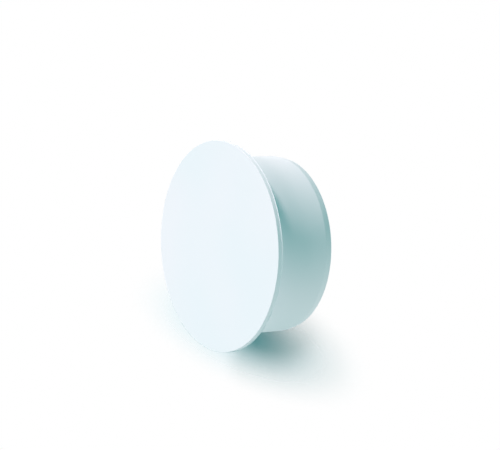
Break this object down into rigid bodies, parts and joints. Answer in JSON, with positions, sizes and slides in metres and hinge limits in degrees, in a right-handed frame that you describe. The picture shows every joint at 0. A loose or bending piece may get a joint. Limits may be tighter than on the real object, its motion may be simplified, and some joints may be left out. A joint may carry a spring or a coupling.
{
  "type": "drain pipe end cap",
  "caption": "Round plastic end cap for a drain pipe socket: a flat disc cover with an overhanging rim and a short hollow spigot with a tapered lead-in at its open end.",
  "frame": {"origin": "centre of the spigot's open end, in the plane of the rim that the cap stands on", "axes": "+Z along the cap's axis, from the open end to the cover's outer face; X and Y are any two directions across it, because the cap is round"},
  "size_m": [0.131, 0.131, 0.0477],
  "materials": {
    "white_plastic": "satin moulded white polypropylene"
  },
  "bodies": {
    "root": {"end_cap": "white_plastic"}
  },
  "joints": []
}
